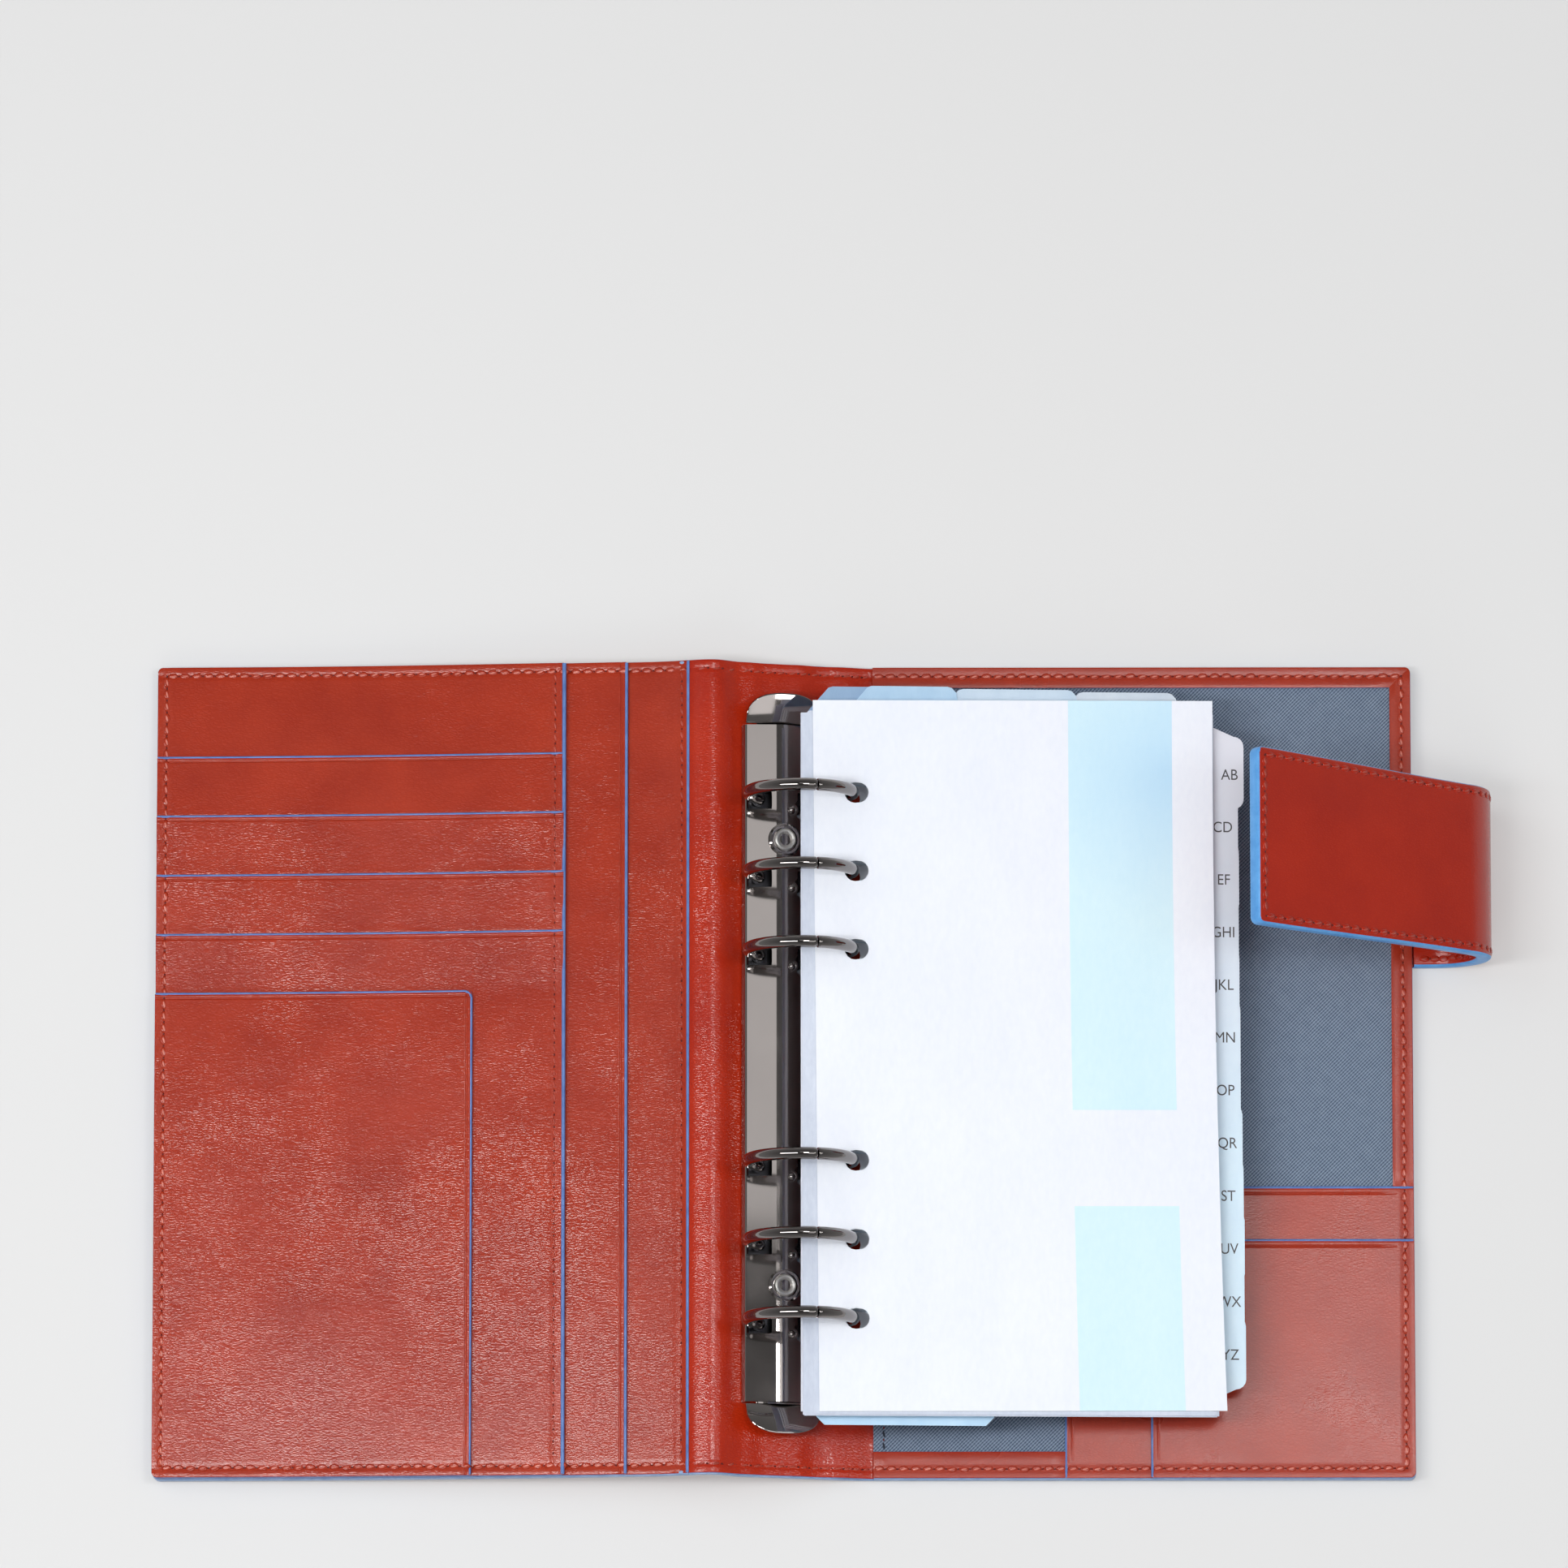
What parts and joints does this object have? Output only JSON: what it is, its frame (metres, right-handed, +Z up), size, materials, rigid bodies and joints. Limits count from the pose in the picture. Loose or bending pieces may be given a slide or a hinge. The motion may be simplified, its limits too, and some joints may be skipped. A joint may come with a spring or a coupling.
{
  "type": "personal organizer",
  "caption": "Open leather ring organizer with card pockets, twill-lined back cover, ring mechanism with end levers, tabbed index refill and a bending closing strap.",
  "frame": {"origin": "middle of the back cover's underside, which lies on the table", "axes": "+X from the spine to the strap, +Y to the top of the pages, +Z up"},
  "size_m": [0.3194, 0.1956, 0.066],
  "materials": {
    "leather": "smooth glossy",
    "spine_leather": "smooth satin",
    "board": "fibreboard",
    "twill": "woven twill",
    "gunmetal": "dark mirror plating",
    "steel": "plated",
    "paper": "uncoated paper",
    "index_card": "coated card",
    "divider_film": "translucent"
  },
  "bodies": {
    "back_cover": {"back_board": "board", "back_border_bottom": "leather", "back_border_right": "leather", "back_border_top": "leather", "back_hinge_leather": "leather", "back_large_pocket": "leather", "back_lining": "twill", "back_outer_leather": "leather", "back_small_pocket": "leather", "strap_base": "leather"},
    "spine": {"lever_pin_bottom": "steel", "lever_pin_top": "steel", "ring_housing": "gunmetal", "rivet_bottom": "steel", "rivet_top": "steel", "spine_inner_leather": "spine_leather", "spine_outer_leather": "spine_leather", "spine_stiffener": "steel"},
    "front_cover": {"card_pocket_1": "leather", "card_pocket_2": "leather", "card_pocket_3": "leather", "card_pocket_4": "leather", "front_base_panel": "leather", "front_board": "board", "front_card_panel": "leather", "front_hinge_leather": "leather", "front_keeper_plate": "steel", "front_outer_leather": "leather", "front_side_pocket": "leather", "front_slip_pocket": "leather"},
    "left_rings": {"left_blade": "steel", "ring_left_1": "gunmetal", "ring_left_2": "gunmetal", "ring_left_3": "gunmetal", "ring_left_4": "gunmetal", "ring_left_5": "gunmetal", "ring_left_6": "gunmetal"},
    "right_rings": {"right_blade": "steel", "ring_right_1": "gunmetal", "ring_right_2": "gunmetal", "ring_right_3": "gunmetal", "ring_right_4": "gunmetal", "ring_right_5": "gunmetal", "ring_right_6": "gunmetal"},
    "top_lever": {"lever_top": "gunmetal"},
    "bottom_lever": {"lever_bottom": "gunmetal"},
    "pages": {"diary_block": "paper", "index_dividers_1": "index_card", "index_dividers_2": "index_card", "index_dividers_3": "index_card", "index_dividers_4": "index_card", "note_sheets": "paper", "page_marker": "divider_film", "section_divider_1": "divider_film", "section_divider_2": "divider_film"},
    "title_leaf": {"title_sheet": "paper"},
    "strap_end": {"strap_face": "leather", "strap_lining": "leather", "strap_magnet": "steel"}
  },
  "joints": [
    {"name": "spine_fold", "type": "hinge", "parent": "back_cover", "child": "spine", "pos_m": [-0.06755, 0, 0.0033], "axis": [0, 1, 0], "range_deg": [0, 72]},
    {"name": "front_cover_fold", "type": "hinge", "parent": "spine", "child": "front_cover", "pos_m": [-0.10183, 0, 0.01431], "axis": [0, 1, 0], "range_deg": [0, 112]},
    {"name": "left_ring_open", "type": "hinge", "parent": "spine", "child": "left_rings", "pos_m": [-0.09289, 0, 0.01369], "axis": [0, 1, 0], "range_deg": [-7.5, 0]},
    {"name": "right_ring_open", "type": "hinge", "parent": "spine", "child": "right_rings", "pos_m": [-0.07708, 0, 0.00862], "axis": [0, 1, 0], "range_deg": [0, 7.5]},
    {"name": "top_lever_press", "type": "hinge", "parent": "spine", "child": "top_lever", "pos_m": [-0.08514, 0.079, 0.01068], "axis": [0.9521, 0, -0.3057], "range_deg": [-9, 0]},
    {"name": "bottom_lever_press", "type": "hinge", "parent": "spine", "child": "bottom_lever", "pos_m": [-0.08514, -0.079, 0.01068], "axis": [0.9521, 0, -0.3057], "range_deg": [0, 9]},
    {"name": "pages_swing", "type": "hinge", "parent": "spine", "child": "pages", "pos_m": [-0.08037, 0, 0.02553], "axis": [0, 1, 0], "range_deg": [-75, 0]},
    {"name": "title_leaf_turn", "type": "hinge", "parent": "pages", "child": "title_leaf", "pos_m": [-0.08037, 0, 0.02553], "axis": [0, 1, 0], "range_deg": [-175, 0]},
    {"name": "strap_bend", "type": "hinge", "parent": "back_cover", "child": "strap_end", "pos_m": [0.08282, 0, 0.00981], "axis": [0, 1, 0], "range_deg": [0, 100]}
  ],
  "couplings": [
    {"joint": "right_ring_open", "follows": "left_ring_open", "ratio": -1},
    {"joint": "top_lever_press", "follows": "left_ring_open", "ratio": 1.2},
    {"joint": "bottom_lever_press", "follows": "left_ring_open", "ratio": -1.2},
    {"joint": "pages_swing", "follows": "spine_fold", "ratio": -1.03}
  ]
}
